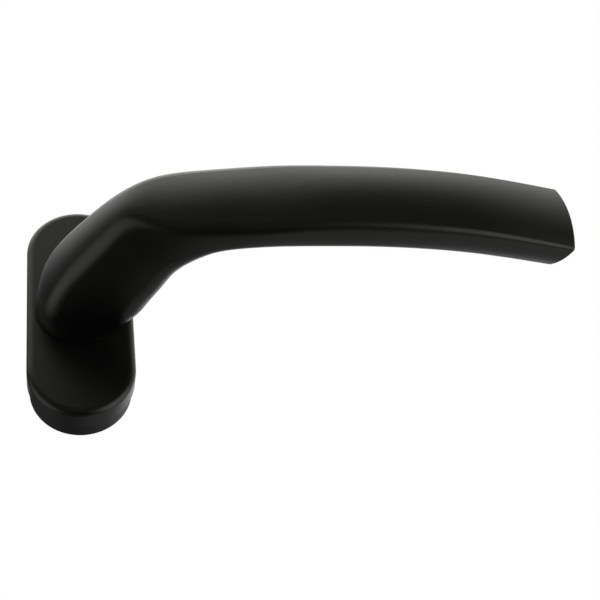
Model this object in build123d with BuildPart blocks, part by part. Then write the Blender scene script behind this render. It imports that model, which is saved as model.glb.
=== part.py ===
from build123d import *
import math
import os

# Tilt and turn window handle. The origin is on the spindle's axis, in the plane where the rosette
# meets the window sash. X runs along the lever at rest, Z is up, and the handle stands out of the
# sash along -Y. A distance from the sash towards the room is called "out".

# Rosette
rosette_width = 30.0
rosette_height = 70.0
rosette_out = 13.5
cover_edge_radius = 2.0
cover_wall = 1.7
cover_front = 1.5
base_out = 6.0
base_inset = 0.6
base_edge_radius = 0.4
screw_spacing = 43.0

# Gaps between pieces
seat_gap = 0.05
running_gap = 0.05
press_gap = 0.01
cover_play = 0.3
flange_cover_gap = 0.2

# Bearing in the base plate
journal_radius = 8.0
collar_radius = 9.5
bush_wall = 2.0
bush_flange_radius = 12.0
bush_flange = 1.0
bush_chamfer = 0.3
boss_radius = 12.8

# Stack behind the bush, from the sash outwards
back_plate_thickness = 1.2
back_plate_width = 25.6
back_plate_margin = 2.2
back_plate_corner = 4.0
back_plate_play = 0.1
cam_thickness = 2.8
cam_width = 13.0
cam_corner = 1.5
journal_land = 0.8
ring_thickness = 1.0
washer_thickness = 0.5
disc_spring_height = 0.9
disc_spring_thickness = 0.4
chamber_radius = 11.2
washer_play = 0.4

# Retaining ring
groove_depth = 0.6
ring_width = 2.2
ring_mouth = 3.0
ring_lug_radius = 1.5
ring_lug_hole = 0.7

# Detent springs
spring_thickness = 0.8
spring_width = 2.4
spring_length = 23.2

# Spindle and its cross pin
spindle_width = 7.0
spindle_reach = 35.0
spindle_depth = 30.0
spindle_chamfer = 0.8
spindle_hole_play = 0.6
pin_radius = 1.25
pin_out = 9.4
pin_end_gap = 0.2
pin_chamfer = 0.3

# Fixing screws of the rosette
fixing_radius = 2.5
fixing_shank_radius = 2.25
fixing_shank_past = 0.1
fixing_length = 25.0
fixing_head_radius = 4.6
fixing_hole_play = 0.25
fixing_sink = 0.2
fixing_recess_depth = 1.7
fixing_recess_width = 1.1
fixing_recess_length = 5.0
fixing_point = 0.8

# Small screws of the back plate
small_screw_radius = 1.0
small_screw_shank_radius = 0.85
small_screw_shank_past = 0.1
small_screw_length = 5.0
small_screw_head_radius = 1.9
small_screw_spacing = 26.6
small_screw_hole_play = 0.15
small_screw_recess_depth = 0.6
small_screw_recess_width = 0.5
small_screw_recess_length = 2.2
small_screw_point = 0.3

# Lever, from the foot on the cover to the square end of the grip. A section is given by the middle
# of its front and of its inner side (each along X and up from the cover), and by the widths of its
# front, between the ridges, and of its inner side. From the knee on, heights are given as drops
# below the top of the grip's bow.
foot_gap = 0.15
foot_radius = 13.0
foot_rim = 0.5
foot_ease = 0.3
foot_corner = 9.0

low_along = -8.8
low_rise = 12.6
low_inner_along = 15.4
low_inner_rise = 9.5
low_face = 17.3
low_back = 23.9

high_along = 2.9
high_rise = 34.7
high_inner_along = 19.9
high_inner_rise = 18.9
high_face = 14.5
high_back = 23.3

knee_along = 13.3
knee_drop = 4.2
knee_inner_along = 26.2
knee_inner_drop = 21.6
knee_face = 13.3
knee_back = 21.4

bend_along = 20.4
bend_drop = 3.2
bend_inner_along = 31.2
bend_inner_drop = 16.4
bend_face = 18.4
bend_back = 20.3

grip_along = 38.0
grip_drop = 1.9
grip_inner_along = 37.3
grip_inner_drop = 13.0
grip_face = 21.6
grip_back = 19.2

bow_along = 67.0
bow_rise = 51.2
bow_radius = 245.0
bow_face = 21.5
bow_back = 17.7

end_along = 133.6
end_face = 21.9
end_back = 15.5
end_depth = 12.0
end_edge_radius = 0.6
end_edge_steps = 4

# Swell of each section's front, sides and back, and the radii of its ridges and of its back corners
low_form = (1.5, 1.2, 2.0, 5.2, 8.0)
high_form = (1.5, 1.2, 2.0, 5.2, 7.5)
knee_form = (1.4, 1.0, 1.5, 4.8, 7.0)
bend_form = (1.7, 0.9, 1.2, 4.2, 6.0)
grip_form = (2.0, 0.8, 1.0, 3.4, 5.0)
bow_form = (2.1, 0.7, 1.0, 2.8, 5.0)
end_form = (2.2, 1.1, 1.0, 1.0, 4.5)
section_count = 20

# Heights of the lever's upper sections
knee_rise = bow_rise - knee_drop
knee_inner_rise = bow_rise - knee_inner_drop
bend_rise = bow_rise - bend_drop
bend_inner_rise = bow_rise - bend_inner_drop
grip_rise = bow_rise - grip_drop
grip_inner_rise = bow_rise - grip_inner_drop

# Distances out that follow from the stack
cam_bottom = back_plate_thickness + seat_gap
journal_end = cam_bottom + cam_thickness + seat_gap
ring_bottom = journal_end + journal_land
washer_bottom = ring_bottom + ring_thickness
disc_spring_bottom = washer_bottom + washer_thickness
chamber_top = disc_spring_bottom + disc_spring_height
flange_top = rosette_out - cover_front - flange_cover_gap
boss_top = flange_top - bush_flange
collar_bottom = flange_top + seat_gap
foot_out = rosette_out + foot_gap

# Radii and offsets that follow from the fits
bush_radius = journal_radius + bush_wall
groove_radius = journal_radius - groove_depth
washer_radius = chamber_radius - washer_play
bore_width = spindle_width + 2 * running_gap
spring_offset = cam_width / 2 + running_gap + spring_thickness / 2
spring_bottom = cam_bottom + (cam_thickness - spring_width) / 2
fixing_offset = screw_spacing / 2
small_screw_offset = small_screw_spacing / 2
back_plate_height = small_screw_spacing + 2 * back_plate_margin

# The sash plane seen from the room, and the same plane seen from the sash
wall = Plane(origin=(0, 0, 0), x_dir=(1, 0, 0), z_dir=(0, -1, 0))
sash = Plane(origin=(0, 0, 0), x_dir=(1, 0, 0), z_dir=(0, 1, 0))

os.makedirs("parts", exist_ok=True)


def finish(builder, name):
    """Label a finished piece and write it to its own file."""
    builder.part.label = name
    export_step(builder.part, f"parts/{name}.step")


def smooth_value(knots, values, at):
    """Read a smooth curve through (knots, values); each slope comes from the neighbours."""
    steps = [b - a for a, b in zip(knots, knots[1:])]
    rises = [(b - a) / step for a, b, step in zip(values, values[1:], steps)]
    slopes = []
    for rise_0, rise_1, step_0, step_1 in zip(rises, rises[1:], steps, steps[1:]):
        slopes.append((rise_0 * step_1 + rise_1 * step_0) / (step_0 + step_1))
    slopes.insert(0, 1.5 * rises[0] - 0.5 * slopes[0])
    slopes.append(1.5 * rises[-1] - 0.5 * slopes[-1])
    span = max(i for i in range(len(steps)) if i == 0 or knots[i] <= at)
    u = (at - knots[span]) / steps[span]
    start = (1 + 2 * u) * (1 - u) ** 2 * values[span] + u * (1 - u) ** 2 * steps[span] * slopes[span]
    end = u**2 * (3 - 2 * u) * values[span + 1] + u**2 * (u - 1) * steps[span] * slopes[span + 1]
    return start + end


def lever_section(
    along,
    rise,
    inner_along,
    inner_rise,
    face,
    back,
    front_swell,
    side_swell,
    back_swell,
    ridge_radius,
    back_radius,
    ahead=0,
    inset=0,
):
    """A section of the lever: a crowned front between two ridges, swelling sides and a round back."""
    outer = Vector(along, -foot_out - rise)
    inner = Vector(inner_along, -foot_out - inner_rise)
    depth = (outer - inner).length - 2 * inset
    forward = (outer - inner).normalized()
    travel = Vector(-forward.Y, forward.X)
    top_ridge = Vector(0, face / 2 - inset)
    low_ridge = Vector(0, inset - face / 2)
    low_corner = Vector(-depth, inset - back / 2)
    top_corner = Vector(-depth, back / 2 - inset)
    swell = Vector(0, side_swell)
    middle = outer + travel * ahead - forward * inset
    with BuildSketch(Plane(origin=middle, x_dir=forward, z_dir=travel)) as section:
        with BuildLine():
            ThreePointArc(top_ridge, (front_swell, 0), low_ridge)
            ThreePointArc(low_ridge, (low_ridge + low_corner) / 2 - swell, low_corner)
            ThreePointArc(low_corner, (-depth - back_swell, 0), top_corner)
            ThreePointArc(top_corner, (top_corner + top_ridge) / 2 + swell, top_ridge)
        make_face()
        fillet(section.vertices().group_by(Axis.X)[0], back_radius)
        fillet(section.vertices().group_by(Axis.X)[-1], ridge_radius)
    return section.sketch


# Sections that shape the lever: the foot is nearly a circle, and the grip bows back towards its end
foot_side = foot_radius * math.sqrt(2)
foot_swell = foot_radius - foot_side / 2 - foot_ease
foot_form = (foot_swell, foot_swell, foot_swell, foot_corner, foot_corner)
stations = [
    (-foot_side / 2, foot_rim, foot_side / 2, foot_rim, foot_side, foot_side, *foot_form),
    (low_along, low_rise, low_inner_along, low_inner_rise, low_face, low_back, *low_form),
    (high_along, high_rise, high_inner_along, high_inner_rise, high_face, high_back, *high_form),
    (knee_along, knee_rise, knee_inner_along, knee_inner_rise, knee_face, knee_back, *knee_form),
    (bend_along, bend_rise, bend_inner_along, bend_inner_rise, bend_face, bend_back, *bend_form),
    (grip_along, grip_rise, grip_inner_along, grip_inner_rise, grip_face, grip_back, *grip_form),
]
for share in (0, 0.5, 1):
    along = bow_along + share * (end_along - bow_along)
    lean = math.asin((along - bow_along) / bow_radius)
    rise = bow_rise - bow_radius * (1 - math.cos(lean))
    inner_along = along - end_depth * math.sin(lean)
    inner_rise = rise - end_depth * math.cos(lean)
    face = bow_face + share * (end_face - bow_face)
    back = bow_back + share * (end_back - bow_back)
    form = [a + share * (b - a) for a, b in zip(bow_form, end_form)]
    stations.append((along, rise, inner_along, inner_rise, face, back, *form))

# Length of the lever's middle line up to each of those sections
lengths = [0]
for start, end in zip(stations, stations[1:]):
    start_middle = Vector(start[0] + start[2], start[1] + start[3]) / 2
    end_middle = Vector(end[0] + end[2], end[1] + end[3]) / 2
    lengths.append(lengths[-1] + (end_middle - start_middle).length)

# Even sections in between, so that the skin runs smoothly through them
lever_sections = []
for step in range(section_count):
    at = lengths[-1] * step / (section_count - 1)
    section_values = [smooth_value(lengths, values, at) for values in zip(*stations)]
    lever_sections.append(lever_section(*section_values))

# The end's edge is rounded: each section there is a little further on and smaller all round
end_sections = []
for step in range(end_edge_steps + 1):
    angle = math.radians(90 * step / end_edge_steps)
    ahead = end_edge_radius * math.sin(angle)
    inset = end_edge_radius * (1 - math.cos(angle))
    end_sections.append(lever_section(*stations[-1], ahead, inset))

# Lever: one casting, with a collar and a journal behind the foot and a square bore for the spindle
with BuildPart() as lever:
    loft(sections=lever_sections)
    loft(sections=end_sections)
    with BuildSketch(wall.offset(foot_out)):
        Circle(foot_radius)
    extrude(amount=foot_rim)
    with BuildSketch(wall.offset(collar_bottom)):
        Circle(collar_radius)
    extrude(amount=foot_out - collar_bottom)
    with BuildSketch(wall.offset(journal_end)):
        Circle(journal_radius)
    extrude(amount=collar_bottom - journal_end)
    with BuildSketch(wall.offset(ring_bottom)):
        Circle(collar_radius)
        Circle(groove_radius, mode=Mode.SUBTRACT)
    extrude(amount=ring_thickness, mode=Mode.SUBTRACT)
    with BuildSketch(wall.offset(journal_end)):
        Rectangle(bore_width, bore_width)
    extrude(amount=spindle_depth - journal_end, mode=Mode.SUBTRACT)
    with BuildSketch(Plane.XY):
        with Locations((0, -pin_out)):
            Circle(pin_radius + press_gap)
    extrude(amount=journal_radius, both=True, mode=Mode.SUBTRACT)
finish(lever, "lever")

# Spindle: square steel bar that reaches into the window's gear
with BuildPart() as spindle:
    with BuildSketch(wall.offset(-spindle_reach)):
        Rectangle(spindle_width, spindle_width)
    extrude(amount=spindle_reach + spindle_depth - seat_gap)
    chamfer(spindle.faces().sort_by(Axis.Y)[0].edges(), spindle_chamfer)
    chamfer(spindle.faces().sort_by(Axis.Y)[-1].edges(), spindle_chamfer)
    with BuildSketch(Plane.XY):
        with Locations((0, -pin_out)):
            Circle(pin_radius + press_gap)
    extrude(amount=spindle_width, both=True, mode=Mode.SUBTRACT)
finish(spindle, "spindle")

# Spindle pin: dowel across the journal, held in by the bush around it
with BuildPart() as spindle_pin:
    with BuildSketch(Plane.XY):
        with Locations((0, -pin_out)):
            Circle(pin_radius)
    extrude(amount=journal_radius - pin_end_gap, both=True)
    chamfer(spindle_pin.edges().filter_by(GeomType.CIRCLE), pin_chamfer)
finish(spindle_pin, "spindle_pin")

# Index cam: a rounded square on the spindle, with a flat for each stop
with BuildPart() as index_cam:
    with BuildSketch(wall.offset(cam_bottom)):
        RectangleRounded(cam_width, cam_width, cam_corner)
        Rectangle(bore_width, bore_width, mode=Mode.SUBTRACT)
    extrude(amount=cam_thickness)
finish(index_cam, "index_cam")

# Retaining ring: open ring in the journal's groove, with two lugs for the pliers
with BuildPart() as retaining_ring:
    ring_radius = groove_radius + ring_width
    lug_along = ring_mouth / 2 + ring_lug_radius
    lug_down = math.sqrt(ring_radius**2 - lug_along**2)
    with BuildSketch(wall.offset(ring_bottom)):
        Circle(ring_radius)
        with Locations((lug_along, -lug_down), (-lug_along, -lug_down)):
            Circle(ring_lug_radius)
            Circle(ring_lug_hole, mode=Mode.SUBTRACT)
        Circle(groove_radius + press_gap, mode=Mode.SUBTRACT)
        with Locations((0, -ring_radius)):
            Rectangle(ring_mouth, 2 * ring_width, mode=Mode.SUBTRACT)
    extrude(amount=ring_thickness)
finish(retaining_ring, "retaining_ring")

# Thrust washer: flat ring between the retaining ring and the disc spring
with BuildPart() as thrust_washer:
    with BuildSketch(wall.offset(washer_bottom)):
        Circle(washer_radius)
        Circle(journal_radius + seat_gap, mode=Mode.SUBTRACT)
    extrude(amount=washer_thickness)
finish(thrust_washer, "thrust_washer")

# Disc spring: conical washer that draws the lever's collar down on the bush
with BuildPart() as disc_spring:
    cone_inner = journal_radius + cover_play
    cone_bottom = disc_spring_bottom
    cone_top = chamber_top - seat_gap
    with BuildSketch(Plane.XY):
        Polygon(
            (cone_inner, -cone_bottom),
            (washer_radius, disc_spring_thickness - cone_top),
            (washer_radius, -cone_top),
            (cone_inner, -cone_bottom - disc_spring_thickness),
            align=None,
        )
    revolve(axis=Axis.Y)
finish(disc_spring, "disc_spring")

# Bearing bush: flanged plastic sleeve in which the journal turns
with BuildPart() as bearing_bush:
    with BuildSketch(wall.offset(chamber_top)):
        Circle(bush_radius)
    extrude(amount=boss_top - chamber_top)
    with BuildSketch(wall.offset(boss_top)):
        Circle(bush_flange_radius)
    extrude(amount=bush_flange)
    chamfer(bearing_bush.faces().sort_by(Axis.Y)[0].edges(), bush_chamfer)
    chamfer(bearing_bush.faces().sort_by(Axis.Y)[-1].edges(), bush_chamfer)
    with BuildSketch(wall.offset(chamber_top)):
        Circle(journal_radius + running_gap)
    extrude(amount=flange_top - chamber_top, mode=Mode.SUBTRACT)
finish(bearing_bush, "bearing_bush")

# Base plate: casting with the bearing boss, the chamber of the stop mechanism and the screw holes
with BuildPart() as base_plate:
    with BuildSketch(wall):
        SlotOverall(rosette_height - 2 * base_inset, rosette_width - 2 * base_inset, rotation=90)
    extrude(amount=base_out)
    fillet(base_plate.faces().sort_by(Axis.Y)[0].edges(), base_edge_radius)
    with BuildSketch(wall.offset(base_out)):
        Circle(boss_radius)
    extrude(amount=boss_top - base_out)
    with BuildSketch(wall):
        RectangleRounded(
            back_plate_width + 2 * back_plate_play,
            back_plate_height + 2 * back_plate_play,
            back_plate_corner + back_plate_play,
        )
    extrude(amount=back_plate_thickness, mode=Mode.SUBTRACT)
    with BuildSketch(wall.offset(back_plate_thickness)):
        Circle(chamber_radius)
    extrude(amount=chamber_top - back_plate_thickness, mode=Mode.SUBTRACT)
    with BuildSketch(wall.offset(chamber_top)):
        Circle(bush_radius + press_gap)
    extrude(amount=boss_top - chamber_top, mode=Mode.SUBTRACT)
    with BuildSketch(wall.offset(back_plate_thickness)):
        with Locations((0, spring_offset), (0, -spring_offset)):
            Rectangle(spring_length + 2 * seat_gap, spring_thickness + 2 * seat_gap)
    extrude(amount=spring_bottom + spring_width + seat_gap - back_plate_thickness, mode=Mode.SUBTRACT)
    with Locations(wall.offset(base_out)):
        with Locations((0, fixing_offset), (0, -fixing_offset)):
            CounterSinkHole(
                fixing_radius + fixing_hole_play,
                fixing_head_radius + fixing_sink + seat_gap,
                counter_sink_angle=90,
            )
    with BuildSketch(wall.offset(back_plate_thickness)):
        with Locations((0, small_screw_offset), (0, -small_screw_offset)):
            Circle(small_screw_radius + press_gap)
    extrude(amount=small_screw_length + seat_gap - back_plate_thickness, mode=Mode.SUBTRACT)
finish(base_plate, "base_plate")

# Detent springs: flat steel strips held in slots of the base plate, on two sides of the cam
for name, side in (("detent_spring_upper", 1), ("detent_spring_lower", -1)):
    with BuildPart() as detent_spring:
        with BuildSketch(wall.offset(spring_bottom)):
            with Locations((0, side * spring_offset)):
                Rectangle(spring_length, spring_thickness)
        extrude(amount=spring_width)
    finish(detent_spring, name)

# Back plate: steel sheet that closes the chamber behind the cam
with BuildPart() as back_plate:
    with BuildSketch(wall):
        RectangleRounded(back_plate_width, back_plate_height, back_plate_corner)
        Circle(spindle_width / math.sqrt(2) + spindle_hole_play, mode=Mode.SUBTRACT)
    extrude(amount=back_plate_thickness)
    with Locations(sash):
        with Locations((0, small_screw_offset), (0, -small_screw_offset)):
            CounterSinkHole(
                small_screw_radius + small_screw_hole_play,
                small_screw_head_radius + seat_gap,
                depth=back_plate_thickness,
                counter_sink_angle=90,
            )
finish(back_plate, "back_plate")


def countersunk_screw(
    name,
    plane,
    radius,
    shank_radius,
    shank,
    head_radius,
    length,
    point,
    recess_depth,
    recess_width,
    recess_length,
):
    """A countersunk screw with a plain shank and a cross recess; the plane is at the top of its head."""
    with BuildPart() as screw:
        with BuildSketch(Plane(origin=plane.origin, x_dir=plane.x_dir, z_dir=-plane.y_dir)):
            Polygon(
                (0, 0),
                (head_radius, 0),
                (shank_radius, shank_radius - head_radius),
                (shank_radius, -shank),
                (radius, shank_radius - radius - shank),
                (radius, point - length),
                (radius - point, -length),
                (0, -length),
                align=None,
            )
        revolve(axis=Axis(plane.origin, plane.z_dir))
        with BuildSketch(plane):
            Rectangle(recess_length, recess_width)
            Rectangle(recess_width, recess_length)
        extrude(amount=-recess_depth, mode=Mode.SUBTRACT)
    finish(screw, name)


# Small screws that hold the back plate
for name, side in (("back_plate_screw_upper", -1), ("back_plate_screw_lower", 1)):
    countersunk_screw(
        name,
        Plane(origin=(0, 0, -side * small_screw_offset), x_dir=(1, 0, 0), z_dir=(0, 1, 0)),
        small_screw_radius,
        small_screw_shank_radius,
        back_plate_thickness + small_screw_shank_past,
        small_screw_head_radius,
        small_screw_length,
        small_screw_point,
        small_screw_recess_depth,
        small_screw_recess_width,
        small_screw_recess_length,
    )

# Fixing screws that hold the base plate on the sash, hidden by the cover
for name, side in (("fixing_screw_upper", 1), ("fixing_screw_lower", -1)):
    countersunk_screw(
        name,
        Plane(origin=(0, fixing_sink - base_out, side * fixing_offset), x_dir=(1, 0, 0), z_dir=(0, -1, 0)),
        fixing_radius,
        fixing_shank_radius,
        base_out - fixing_sink + fixing_shank_past,
        fixing_head_radius,
        fixing_length,
        fixing_point,
        fixing_recess_depth,
        fixing_recess_width,
        fixing_recess_length,
    )

# Cover cap: shell over the base plate that turns round the collar to uncover the screws
with BuildPart() as cover_cap:
    cover_bottom = base_out + seat_gap
    with BuildSketch(wall.offset(cover_bottom)):
        SlotOverall(rosette_height, rosette_width, rotation=90)
    extrude(amount=rosette_out - cover_bottom)
    fillet(cover_cap.faces().sort_by(Axis.Y)[0].edges(), cover_edge_radius)
    with BuildSketch(wall.offset(cover_bottom)):
        SlotOverall(rosette_height - 2 * cover_wall, rosette_width - 2 * cover_wall, rotation=90)
    extrude(amount=rosette_out - cover_front - cover_bottom, mode=Mode.SUBTRACT)
    with BuildSketch(wall.offset(rosette_out)):
        Circle(collar_radius + cover_play)
    extrude(amount=-cover_front, mode=Mode.SUBTRACT)
finish(cover_cap, "cover_cap")
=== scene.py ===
import math

import bmesh
import bpy
from mathutils import Matrix, Vector


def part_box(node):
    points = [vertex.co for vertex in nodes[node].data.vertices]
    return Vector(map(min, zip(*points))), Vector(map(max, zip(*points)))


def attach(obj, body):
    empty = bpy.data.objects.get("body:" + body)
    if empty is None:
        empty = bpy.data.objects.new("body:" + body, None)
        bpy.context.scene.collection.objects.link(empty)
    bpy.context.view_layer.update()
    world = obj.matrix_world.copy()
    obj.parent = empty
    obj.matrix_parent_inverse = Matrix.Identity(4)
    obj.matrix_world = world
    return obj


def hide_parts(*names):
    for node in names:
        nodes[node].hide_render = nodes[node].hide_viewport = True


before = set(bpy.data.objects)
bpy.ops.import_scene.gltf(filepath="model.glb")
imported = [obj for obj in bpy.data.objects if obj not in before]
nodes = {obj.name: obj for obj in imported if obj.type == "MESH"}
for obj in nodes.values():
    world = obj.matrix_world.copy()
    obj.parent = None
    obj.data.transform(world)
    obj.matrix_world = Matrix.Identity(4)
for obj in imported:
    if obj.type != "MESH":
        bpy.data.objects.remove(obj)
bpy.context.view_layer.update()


# Base plate: the small casting that is screwed to the sash and carries the bearing.
# Cast zinc with a dull black coat, coarser than the lever's because the cover hides it.
def add(tree, kind, **values):
    """Add a node to a tree and set its inputs or its settings by name."""
    node = tree.nodes.new(kind)
    for name, value in values.items():
        if name in node.inputs:
            node.inputs[name].default_value = value
        else:
            setattr(node, name, value)
    return node


def noise(tree, vector, scale, detail):
    """A noise that follows a vector, and the socket with its values."""
    texture = add(tree, "ShaderNodeTexNoise", Detail=detail)
    tree.links.new(vector, texture.inputs["Vector"])
    if isinstance(scale, float):
        texture.inputs["Scale"].default_value = scale
    else:
        tree.links.new(scale, texture.inputs["Scale"])
    return texture.outputs["Fac"]


def finish_group(name, extra):
    """Start a finish that takes two colours and a roughness, and puts out what varies of them."""
    group = bpy.data.node_groups.new(name, "ShaderNodeTree")
    floats = [("Rough", 0.4), ("Swing", 0.05)] + extra
    group.interface.new_socket("Vector", in_out="INPUT", socket_type="NodeSocketVector")
    for colour in ("Dark", "Light"):
        group.interface.new_socket(colour, in_out="INPUT", socket_type="NodeSocketColor")
    for label, value in floats:
        socket = group.interface.new_socket(label, in_out="INPUT", socket_type="NodeSocketFloat")
        socket.default_value = value
    group.interface.new_socket("Color", in_out="OUTPUT", socket_type="NodeSocketColor")
    group.interface.new_socket("Roughness", in_out="OUTPUT", socket_type="NodeSocketFloat")
    group.interface.new_socket("Height", in_out="OUTPUT", socket_type="NodeSocketFloat")
    return group, add(group, "NodeGroupInput").outputs, add(group, "NodeGroupOutput").inputs


def blend_finish(group, given, out, shade, gloss, height):
    """Join a finish's colours by shade, swing its roughness by gloss, and pass its height on."""
    noise_low, noise_middle, noise_high = 0.3, 0.5, 0.7
    spread = add(group, "ShaderNodeMapRange")
    spread.inputs["From Min"].default_value = noise_low
    spread.inputs["From Max"].default_value = noise_high
    colour = add(group, "ShaderNodeMix", data_type="RGBA")
    share, first_colour, second_colour = colour.inputs[0], colour.inputs[6], colour.inputs[7]
    mixed_colour = colour.outputs[2]
    around = add(group, "ShaderNodeMath", operation="SUBTRACT")
    around.inputs[1].default_value = noise_middle
    rough = add(group, "ShaderNodeMath", operation="MULTIPLY_ADD")
    link = group.links.new
    link(shade, spread.inputs["Value"])
    link(spread.outputs["Result"], share)
    link(given["Dark"], first_colour)
    link(given["Light"], second_colour)
    link(gloss, around.inputs[0])
    link(around.outputs["Value"], rough.inputs[0])
    link(given["Swing"], rough.inputs[1])
    link(given["Rough"], rough.inputs[2])
    link(mixed_colour, out["Color"])
    link(rough.outputs["Value"], out["Roughness"])
    link(height, out["Height"])


def finish(name, group, metallic, depth, tint=(1, 1, 1, 1), **inputs):
    """A material with a finish group; depth is its bumps' height, and tint its sheen's colour."""
    material = bpy.data.materials.new(name)
    material.use_nodes = True
    tree = material.node_tree
    surface = tree.nodes["Principled BSDF"]
    surface.inputs["Metallic"].default_value = metallic
    surface.inputs["Specular Tint"].default_value = tint
    place = add(tree, "ShaderNodeTexCoord")
    coat = add(tree, "ShaderNodeGroup", node_tree=group)
    for label, value in inputs.items():
        coat.inputs[label.replace("_", " ").title()].default_value = value
    bump = add(tree, "ShaderNodeBump", Distance=depth)
    tree.links.new(place.outputs["Object"], coat.inputs["Vector"])
    tree.links.new(coat.outputs["Color"], surface.inputs["Base Color"])
    tree.links.new(coat.outputs["Roughness"], surface.inputs["Roughness"])
    tree.links.new(coat.outputs["Height"], bump.inputs["Height"])
    tree.links.new(bump.outputs["Normal"], surface.inputs["Normal"])
    return material


def dress(material, *names):
    """Give CAD nodes a material."""
    for name in names:
        nodes[name].data.materials.clear()
        nodes[name].data.materials.append(material)


# A baked powder coat: fine pebbles, with slow changes of gloss and of blackness over the piece.
powder_coat, given, out = finish_group("powder_coat", [("Pebble Scale", 900.0)])
pebble = noise(powder_coat, given["Vector"], scale=given["Pebble Scale"], detail=3.0)
cloud = noise(powder_coat, given["Vector"], scale=30.0, detail=4.0)
blend_finish(powder_coat, given, out, shade=cloud, gloss=cloud, height=pebble)

base_coat = finish(
    "base_coat", powder_coat, metallic=0.0, depth=0.00008, dark=(0.006, 0.006, 0.006, 1),
    light=(0.014, 0.014, 0.014, 1), rough=0.5, swing=0.15, pebble_scale=1800.0,
)
dress(base_coat, "base_plate")


# Bearing bush: a turned sleeve with a flange, pressed into the base plate from the front.
# Off-white acetal, with the fine rings that the lathe leaves.
lathe_rings, given, out = finish_group("lathe_rings", [("Ring Scale", 2500.0)])
link = lathe_rings.links.new
across_axis = (1, 0, 1)
flat = add(lathe_rings, "ShaderNodeVectorMath", operation="MULTIPLY")
flat.inputs[1].default_value = across_axis
from_axis = add(lathe_rings, "ShaderNodeVectorMath", operation="LENGTH")
phase = add(lathe_rings, "ShaderNodeMath", operation="MULTIPLY")
ring = add(lathe_rings, "ShaderNodeMath", operation="SINE")
link(given["Vector"], flat.inputs[0])
link(flat.outputs["Vector"], from_axis.inputs[0])
link(from_axis.outputs["Value"], phase.inputs[0])
link(given["Ring Scale"], phase.inputs[1])
link(phase.outputs["Value"], ring.inputs[0])
cloud = noise(lathe_rings, given["Vector"], scale=60.0, detail=3.0)
blend_finish(lathe_rings, given, out, shade=cloud, gloss=cloud, height=ring.outputs["Value"])

bush_plastic = finish(
    "bush_plastic", lathe_rings, metallic=0.0, depth=0.000005, dark=(0.56, 0.54, 0.48, 1),
    light=(0.66, 0.64, 0.58, 1), rough=0.42, swing=0.15, ring_scale=16000.0,
)
dress(bush_plastic, "bearing_bush")


# Lever: neck, grip, collar and journal in one casting, with the square bore for the spindle.
# Cast aluminium, blasted and coated satin black.
satin_black = finish(
    "satin_black", powder_coat, metallic=0.0, depth=0.000026, tint=(0.99, 1.0, 0.91, 1),
    dark=(0.0036, 0.0036, 0.003, 1), light=(0.0066, 0.0066, 0.0056, 1), rough=0.32, swing=0.06,
    pebble_scale=3200.0,
)
dress(satin_black, "lever")


# Spindle and its cross pin: a drawn square bar that turns the window's lock, pinned in the lever.
# Steel, zinc-plated and blue passivated, with fine lines along the bar.
plated_steel, given, out = finish_group("plated_steel", [("Along", 30.0), ("Across", 1800.0)])
link = plated_steel.links.new
stretch = add(plated_steel, "ShaderNodeCombineXYZ")
drawn = add(plated_steel, "ShaderNodeVectorMath", operation="MULTIPLY")
link(given["Across"], stretch.inputs["X"])
link(given["Along"], stretch.inputs["Y"])
link(given["Across"], stretch.inputs["Z"])
link(given["Vector"], drawn.inputs[0])
link(stretch.outputs["Vector"], drawn.inputs[1])
lines = noise(plated_steel, drawn.outputs["Vector"], scale=1.0, detail=2.0)
cloud = noise(plated_steel, given["Vector"], scale=140.0, detail=4.0)
blend_finish(plated_steel, given, out, shade=cloud, gloss=lines, height=lines)

zinc = finish(
    "zinc_plated", plated_steel, metallic=1.0, depth=0.000008, dark=(0.50, 0.53, 0.58, 1),
    light=(0.66, 0.66, 0.64, 1), rough=0.32, swing=0.2, along=25.0, across=2200.0,
)
dress(zinc, "spindle", "spindle_pin")


# Index cam, thrust washer, disc spring, retaining ring and detent springs: the click work,
# stacked on journal and spindle in the base plate's chamber, with the leaf springs beside the cam.
# Hardened steel, oiled and nearly black, with a brushed face; the washer is turned and bright.
spring_steel = finish(
    "spring_steel", plated_steel, metallic=1.0, depth=0.000006, dark=(0.09, 0.085, 0.08, 1),
    light=(0.17, 0.16, 0.15, 1), rough=0.36, swing=0.2, along=2000.0, across=60.0,
)
bright_steel = finish(
    "bright_steel", lathe_rings, metallic=1.0, depth=0.000003, dark=(0.46, 0.46, 0.47, 1),
    light=(0.58, 0.58, 0.58, 1), rough=0.3, swing=0.15, ring_scale=22000.0,
)
dress(spring_steel, "index_cam", "retaining_ring", "disc_spring")
dress(spring_steel, "detent_spring_upper", "detent_spring_lower")
dress(bright_steel, "thrust_washer")


# Back plate: the sheet that closes the chamber behind the cam, held by two small screws.
# Zinc-plated steel with the marks of rolling.
rolled_sheet = finish(
    "rolled_sheet", plated_steel, metallic=1.0, depth=0.000006, dark=(0.48, 0.50, 0.53, 1),
    light=(0.60, 0.60, 0.58, 1), rough=0.38, swing=0.25, along=900.0, across=40.0,
)
dress(rolled_sheet, "back_plate")


# Screws: two small ones hold the back plate, and two long ones fix the base plate to the sash.
# Steel with a rolled thread, zinc-plated; the long ones show their thread behind the sash plane.
dress(zinc, "back_plate_screw_upper", "back_plate_screw_lower")

thread_pitch = 0.0008
thread_depth = 0.00045
thread_start = 0.00011
lead_turns = 1.5
spare_turns = 2
neck_end = 0.00005
point_length = 0.0008
turn_steps = 40
closeness = 0.000001
crease = math.radians(35)


def cut_off(shape, y, side):
    """Cut a screw's mesh across at y, and delete what lies on that side of the cut."""
    whole = shape.verts[:] + shape.edges[:] + shape.faces[:]
    bmesh.ops.bisect_plane(
        shape, geom=whole, dist=closeness, plane_co=(0, y, 0), plane_no=(0, side, 0),
        clear_outer=True,
    )


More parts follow.
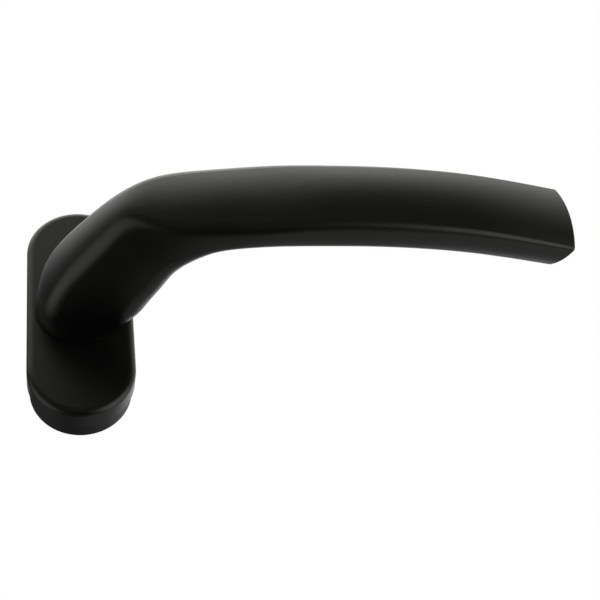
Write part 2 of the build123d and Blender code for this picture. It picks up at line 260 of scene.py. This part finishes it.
for name in ("fixing_screw_upper", "fixing_screw_lower"):
    low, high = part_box(name)
    tip = high.y
    middle = Vector((0, 0, (low.z + high.z) / 2))

    # The head and its neck are kept from the CAD screw.
    shape = bmesh.new()
    shape.from_mesh(nodes[name].data)
    bmesh.ops.remove_doubles(shape, verts=shape.verts, dist=closeness)
    crest = max(vert.co.x for vert in shape.verts if vert.co.y > thread_start)
    cut_off(shape, neck_end, 1)
    neck = max(vert.co.x for vert in shape.verts if vert.co.y > neck_end - closeness)

    # One turn's profile, as radii and shares of the pitch, is spun up the screw and cut to length,
    # and runs out at 45 degrees at neck and point.
    thread = bmesh.new()
    root = crest - thread_depth
    start = thread_start - lead_turns * thread_pitch
    turns = int((tip - start) / thread_pitch) + spare_turns
    profile = ((root, 0), (root, 1 / 6), (crest, 1 / 2), (crest, 2 / 3), (root, 1))
    corners = [(radius, start + share * thread_pitch, middle.z) for radius, share in profile]
    points = [thread.verts.new(corner) for corner in corners]
    edges = [thread.edges.new(pair) for pair in zip(points, points[1:])]
    bmesh.ops.spin(
        thread, geom=points + edges, cent=middle, axis=(0, 1, 0), angle=2 * math.pi * turns,
        steps=turns * turn_steps, dvec=(0, thread_pitch / turn_steps, 0),
    )
    bmesh.ops.remove_doubles(thread, verts=thread.verts, dist=closeness)
    cut_off(thread, thread_start, -1)
    cut_off(thread, tip, 1)
    for vert in thread.verts:
        spoke = Vector((vert.co.x, 0, vert.co.z)) - middle
        past_neck = vert.co.y - thread_start
        to_tip = tip - vert.co.y
        radius = min(spoke.length, neck + past_neck, crest - point_length + to_tip)
        if past_neck < closeness:
            radius = neck
        spoke *= radius / spoke.length
        vert.co = (spoke.x, vert.co.y, middle.z + spoke.z)
    rims = [edge for edge in thread.edges if edge.is_boundary]
    tip_rim = [edge for edge in rims if edge.verts[0].co.y > tip / 2]
    bmesh.ops.contextual_create(thread, geom=tip_rim)
    screw_mesh = bpy.data.meshes.new(name + "_thread")
    thread.to_mesh(screw_mesh)
    thread.free()

    # The thread is joined to the neck, so that the screw is one closed skin.
    shape.from_mesh(screw_mesh)
    rims = [edge for edge in shape.edges if edge.is_boundary]
    neck_rims = [edge for edge in rims if edge.verts[0].co.y > neck_end - closeness]
    bmesh.ops.bridge_loops(shape, edges=neck_rims)
    bmesh.ops.recalc_face_normals(shape, faces=shape.faces)
    for face in shape.faces:
        face.smooth = True
    shape.to_mesh(screw_mesh)
    shape.free()
    screw_mesh.set_sharp_from_angle(angle=crease)
    screw_mesh.materials.clear()
    screw_mesh.materials.append(zinc)
    screw = bpy.data.objects.new(name + "_threaded", screw_mesh)
    bpy.context.scene.collection.objects.link(screw)
    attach(screw, "base")
    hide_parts(name)


# Cover cap: the shell over the base plate, which turns aside to show the fixing screws.
# A metal shell with the lever's satin black coat, so that both read as one finish.
dress(satin_black, "cover_cap")


# Camera: below the handle and a little to its left, as in the photograph.
# Its three directions also place the light.
look = Vector((0.2202, 0.8050, 0.5509)).normalized()
right = Vector((0.9754, -0.1772, -0.1310))
right = (right - right.dot(look) * look).normalized()
up = right.cross(look)
eye = Vector((-0.0081, -0.2802, -0.1809))
camera_data = bpy.data.cameras.new("camera")
camera_data.sensor_width = 36.0
camera_data.lens = 66.08
camera_data.clip_start = 0.01
camera = bpy.data.objects.new("camera", camera_data)
camera.matrix_world = Matrix.Translation(eye) @ Matrix((right, up, -look)).transposed().to_4x4()
bpy.context.scene.collection.objects.link(camera)
bpy.context.scene.camera = camera


# Floor: a plain pale sheet of paper well below the handle.
# It takes the handle's shadow, and is left out of the reflections in the black coat.
floor_half = 3.0
floor_height = -0.34
floor_mesh = bpy.data.meshes.new("floor")
shape = bmesh.new()
bmesh.ops.create_grid(shape, x_segments=1, y_segments=1, size=floor_half)
bmesh.ops.translate(shape, verts=shape.verts, vec=(0, 0, floor_height))
shape.to_mesh(floor_mesh)
shape.free()
floor = bpy.data.objects.new("floor", floor_mesh)
bpy.context.scene.collection.objects.link(floor)
floor.visible_glossy = False
floor.visible_diffuse = False
floor_paper = finish(
    "floor_paper", powder_coat, metallic=0.0, depth=0.0001, dark=(0.875, 0.875, 0.875, 1),
    light=(0.885, 0.885, 0.885, 1), rough=0.85, swing=0.1, pebble_scale=300.0,
)
floor_mesh.materials.append(floor_paper)


# Light: soft white panels over, behind and beside the handle, and a dim camera side.
# The background is plain white to the camera, through glass, and in reflections straight behind.
world = bpy.data.worlds.new("studio")
bpy.context.scene.world = world
world.use_nodes = True
studio = world.node_tree
studio.nodes.clear()
place = add(studio, "ShaderNodeTexCoord")


def panel(level, turn, rise, edge, core, strength):
    """Add a soft panel, turned to the camera's right and raised above it, both in degrees."""
    turn, rise = math.radians(turn), math.radians(rise)
    level_side = math.sin(turn) * right - math.cos(turn) * look
    towards = add(studio, "ShaderNodeVectorMath", operation="DOT_PRODUCT")
    towards.inputs[1].default_value = math.cos(rise) * level_side + math.sin(rise) * up
    ramp = add(studio, "ShaderNodeMapRange", interpolation_type="SMOOTHSTEP")
    for label, value in (("From Min", edge), ("From Max", core), ("To Max", strength)):
        ramp.inputs[label].default_value = value
    total = add(studio, "ShaderNodeMath", operation="ADD")
    if isinstance(level, float):
        total.inputs[0].default_value = level
    else:
        studio.links.new(level, total.inputs[0])
    studio.links.new(place.outputs["Generated"], towards.inputs[0])
    studio.links.new(towards.outputs["Value"], ramp.inputs["Value"])
    studio.links.new(ramp.outputs["Result"], total.inputs[1])
    return total.outputs["Value"]


# Each panel's turn and rise, the cosines at which it starts and is full, and its strength.
panels = (
    (225, 60, 0.56, 0.99, 2.15),  # over the handle and behind it
    (68, -12, 0.8, 0.93, 1.6),  # right of the camera
    (290, -18, 0.74, 0.98, 0.88),  # left of the camera
    (155, 26, 0.34, 0.96, 1.09),  # the wall behind the handle
    (145, -55, 0.72, 1.0, 0.19),  # low behind
    (108, -22, 0.72, 1.0, 0.52),  # low on the right
    (95, -60, 0.8, 1.0, 0.2),  # below on the right
    (250, -40, 0.8, 1.0, 0.12),  # below on the left
    (320, -45, 0.8, 1.0, 0.12),  # below the camera
    (0, 30, 0.3, 1.0, 0.13),  # a weak fill over the camera
)
room_level = 0.06
level = room_level
for settings in panels:
    level = panel(level, *settings)
behind = panel(0.0, turn=180, rise=0, edge=0.85, core=0.97, strength=1.0)
rays = add(studio, "ShaderNodeLightPath")
mirrored = add(studio, "ShaderNodeMath", operation="MULTIPLY")
through = add(studio, "ShaderNodeMath", operation="MAXIMUM")
seen = add(studio, "ShaderNodeMath", operation="MAXIMUM")
room = add(studio, "ShaderNodeBackground", Color=(0.8, 0.8, 0.8, 1))
white = add(studio, "ShaderNodeBackground", Color=(1, 1, 1, 1))
pick = add(studio, "ShaderNodeMixShader")
sky = add(studio, "ShaderNodeOutputWorld")
studio.links.new(level, room.inputs["Strength"])
studio.links.new(rays.outputs["Is Glossy Ray"], mirrored.inputs[0])
studio.links.new(behind, mirrored.inputs[1])
studio.links.new(rays.outputs["Is Transmission Ray"], through.inputs[0])
studio.links.new(mirrored.outputs["Value"], through.inputs[1])
studio.links.new(rays.outputs["Is Camera Ray"], seen.inputs[0])
studio.links.new(through.outputs["Value"], seen.inputs[1])
studio.links.new(seen.outputs["Value"], pick.inputs["Fac"])
studio.links.new(room.outputs["Background"], pick.inputs[1])
studio.links.new(white.outputs["Background"], pick.inputs[2])
studio.links.new(pick.outputs["Shader"], sky.inputs["Surface"])

bpy.context.scene.view_settings.view_transform = "Standard"
